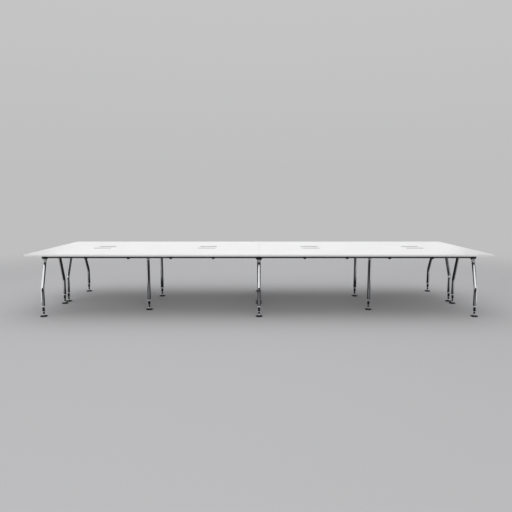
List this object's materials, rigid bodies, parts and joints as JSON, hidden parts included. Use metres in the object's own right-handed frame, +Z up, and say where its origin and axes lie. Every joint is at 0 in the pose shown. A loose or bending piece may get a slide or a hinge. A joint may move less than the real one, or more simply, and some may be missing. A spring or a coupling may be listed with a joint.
{
  "type": "bench desk",
  "caption": "Long double-sided bench desk: white worktops on dark rails, bent chrome tube legs with telescopic levelling feet, and cable outlets with hinged lids along the middle.",
  "frame": {"origin": "on the floor under the middle of the desk", "axes": "+X along the desk to the right, +Y away from the viewer across the desk, +Z up"},
  "size_m": [5.4, 1.6, 0.74],
  "materials": {
    "white_laminate": "white laminate on board, fine satin texture",
    "edge_strip": "satin white edge strip",
    "beech": "raw beech",
    "rail_grey": "dark grey powder coat",
    "beam_silver": "satin anodised",
    "cast_black": "black powder coat on a casting",
    "chrome": "bright chrome plate",
    "foot_black": "black moulded plastic with a bright nut and ring",
    "clamp_black": "black powder coat",
    "tray_grey": "grey powder coat",
    "outlet_white": "satin white moulding",
    "lid_white": "satin white moulding",
    "steel": "zinc plated",
    "brush_black": "black bristles"
  },
  "bodies": {
    "frame": {"brush_strips": "brush_black", "cable_trays": "tray_grey", "cross_beams": "beam_silver", "edge_bands": "edge_strip", "fixing_screws": "steel", "hinge_pins": "steel", "inner_rail_back": "rail_grey", "inner_rail_front": "rail_grey", "leg_back_center": "chrome", "leg_back_left": "chrome", "leg_back_right": "chrome", "leg_collars": "chrome", "leg_front_center": "chrome", "leg_front_left": "chrome", "leg_front_right": "chrome", "leg_heads": "cast_black", "leg_mid_back_center": "chrome", "leg_mid_back_left": "chrome", "leg_mid_back_right": "chrome", "leg_mid_front_center": "chrome", "leg_mid_front_left": "chrome", "leg_mid_front_right": "chrome", "leg_sockets": "cast_black", "leg_support_back_left": "chrome", "leg_support_back_right": "chrome", "leg_support_front_left": "chrome", "leg_support_front_right": "chrome", "outlet_frames": "outlet_white", "rail_back": "rail_grey", "rail_front": "rail_grey", "seam_dowels": "beech", "support_beams": "beam_silver", "top_clamps": "clamp_black", "top_left": "white_laminate", "top_right": "white_laminate"},
    "foot_back_center": {"foot_back_center": "foot_black"},
    "foot_back_left": {"foot_back_left": "foot_black"},
    "foot_back_right": {"foot_back_right": "foot_black"},
    "foot_front_center": {"foot_front_center": "foot_black"},
    "foot_front_left": {"foot_front_left": "foot_black"},
    "foot_front_right": {"foot_front_right": "foot_black"},
    "foot_mid_back_center": {"foot_mid_back_center": "foot_black"},
    "foot_mid_back_left": {"foot_mid_back_left": "foot_black"},
    "foot_mid_back_right": {"foot_mid_back_right": "foot_black"},
    "foot_mid_front_center": {"foot_mid_front_center": "foot_black"},
    "foot_mid_front_left": {"foot_mid_front_left": "foot_black"},
    "foot_mid_front_right": {"foot_mid_front_right": "foot_black"},
    "foot_support_back_left": {"foot_support_back_left": "foot_black"},
    "foot_support_back_right": {"foot_support_back_right": "foot_black"},
    "foot_support_front_left": {"foot_support_front_left": "foot_black"},
    "foot_support_front_right": {"foot_support_front_right": "foot_black"},
    "lid_back_left_inner": {"lid_back_left_inner": "lid_white"},
    "lid_back_left_outer": {"lid_back_left_outer": "lid_white"},
    "lid_back_right_inner": {"lid_back_right_inner": "lid_white"},
    "lid_back_right_outer": {"lid_back_right_outer": "lid_white"},
    "lid_front_left_inner": {"lid_front_left_inner": "lid_white"},
    "lid_front_left_outer": {"lid_front_left_outer": "lid_white"},
    "lid_front_right_inner": {"lid_front_right_inner": "lid_white"},
    "lid_front_right_outer": {"lid_front_right_outer": "lid_white"}
  },
  "joints": [
    {"name": "level_front_left", "type": "slide", "parent": "frame", "child": "foot_front_left", "axis": [0, 0, -1], "range_m": [-0.04, 0.06]},
    {"name": "level_front_center", "type": "slide", "parent": "frame", "child": "foot_front_center", "axis": [0, 0, -1], "range_m": [-0.04, 0.06]},
    {"name": "level_front_right", "type": "slide", "parent": "frame", "child": "foot_front_right", "axis": [0, 0, -1], "range_m": [-0.04, 0.06]},
    {"name": "level_back_left", "type": "slide", "parent": "frame", "child": "foot_back_left", "axis": [0, 0, -1], "range_m": [-0.04, 0.06]},
    {"name": "level_back_center", "type": "slide", "parent": "frame", "child": "foot_back_center", "axis": [0, 0, -1], "range_m": [-0.04, 0.06]},
    {"name": "level_back_right", "type": "slide", "parent": "frame", "child": "foot_back_right", "axis": [0, 0, -1], "range_m": [-0.04, 0.06]},
    {"name": "level_mid_front_left", "type": "slide", "parent": "frame", "child": "foot_mid_front_left", "axis": [0, 0, -1], "range_m": [-0.04, 0.06]},
    {"name": "level_mid_front_center", "type": "slide", "parent": "frame", "child": "foot_mid_front_center", "axis": [0, 0, -1], "range_m": [-0.04, 0.06]},
    {"name": "level_mid_front_right", "type": "slide", "parent": "frame", "child": "foot_mid_front_right", "axis": [0, 0, -1], "range_m": [-0.04, 0.06]},
    {"name": "level_mid_back_left", "type": "slide", "parent": "frame", "child": "foot_mid_back_left", "axis": [0, 0, -1], "range_m": [-0.04, 0.06]},
    {"name": "level_mid_back_center", "type": "slide", "parent": "frame", "child": "foot_mid_back_center", "axis": [0, 0, -1], "range_m": [-0.04, 0.06]},
    {"name": "level_mid_back_right", "type": "slide", "parent": "frame", "child": "foot_mid_back_right", "axis": [0, 0, -1], "range_m": [-0.04, 0.06]},
    {"name": "level_support_front_left", "type": "slide", "parent": "frame", "child": "foot_support_front_left", "axis": [0, 0, -1], "range_m": [-0.04, 0.06]},
    {"name": "level_support_front_right", "type": "slide", "parent": "frame", "child": "foot_support_front_right", "axis": [0, 0, -1], "range_m": [-0.04, 0.06]},
    {"name": "level_support_back_left", "type": "slide", "parent": "frame", "child": "foot_support_back_left", "axis": [0, 0, -1], "range_m": [-0.04, 0.06]},
    {"name": "level_support_back_right", "type": "slide", "parent": "frame", "child": "foot_support_back_right", "axis": [0, 0, -1], "range_m": [-0.04, 0.06]},
    {"name": "open_front_left_outer", "type": "hinge", "parent": "frame", "child": "lid_front_left_outer", "pos_m": [-2.025, -0.013, 0.736], "axis": [-1, 0, 0], "range_deg": [0, 95]},
    {"name": "open_front_left_inner", "type": "hinge", "parent": "frame", "child": "lid_front_left_inner", "pos_m": [-0.675, -0.013, 0.736], "axis": [-1, 0, 0], "range_deg": [0, 95]},
    {"name": "open_front_right_inner", "type": "hinge", "parent": "frame", "child": "lid_front_right_inner", "pos_m": [0.675, -0.013, 0.736], "axis": [-1, 0, 0], "range_deg": [0, 95]},
    {"name": "open_front_right_outer", "type": "hinge", "parent": "frame", "child": "lid_front_right_outer", "pos_m": [2.025, -0.013, 0.736], "axis": [-1, 0, 0], "range_deg": [0, 95]},
    {"name": "open_back_left_outer", "type": "hinge", "parent": "frame", "child": "lid_back_left_outer", "pos_m": [-2.025, 0.013, 0.736], "axis": [1, 0, 0], "range_deg": [0, 95]},
    {"name": "open_back_left_inner", "type": "hinge", "parent": "frame", "child": "lid_back_left_inner", "pos_m": [-0.675, 0.013, 0.736], "axis": [1, 0, 0], "range_deg": [0, 95]},
    {"name": "open_back_right_inner", "type": "hinge", "parent": "frame", "child": "lid_back_right_inner", "pos_m": [0.675, 0.013, 0.736], "axis": [1, 0, 0], "range_deg": [0, 95]},
    {"name": "open_back_right_outer", "type": "hinge", "parent": "frame", "child": "lid_back_right_outer", "pos_m": [2.025, 0.013, 0.736], "axis": [1, 0, 0], "range_deg": [0, 95]}
  ]
}
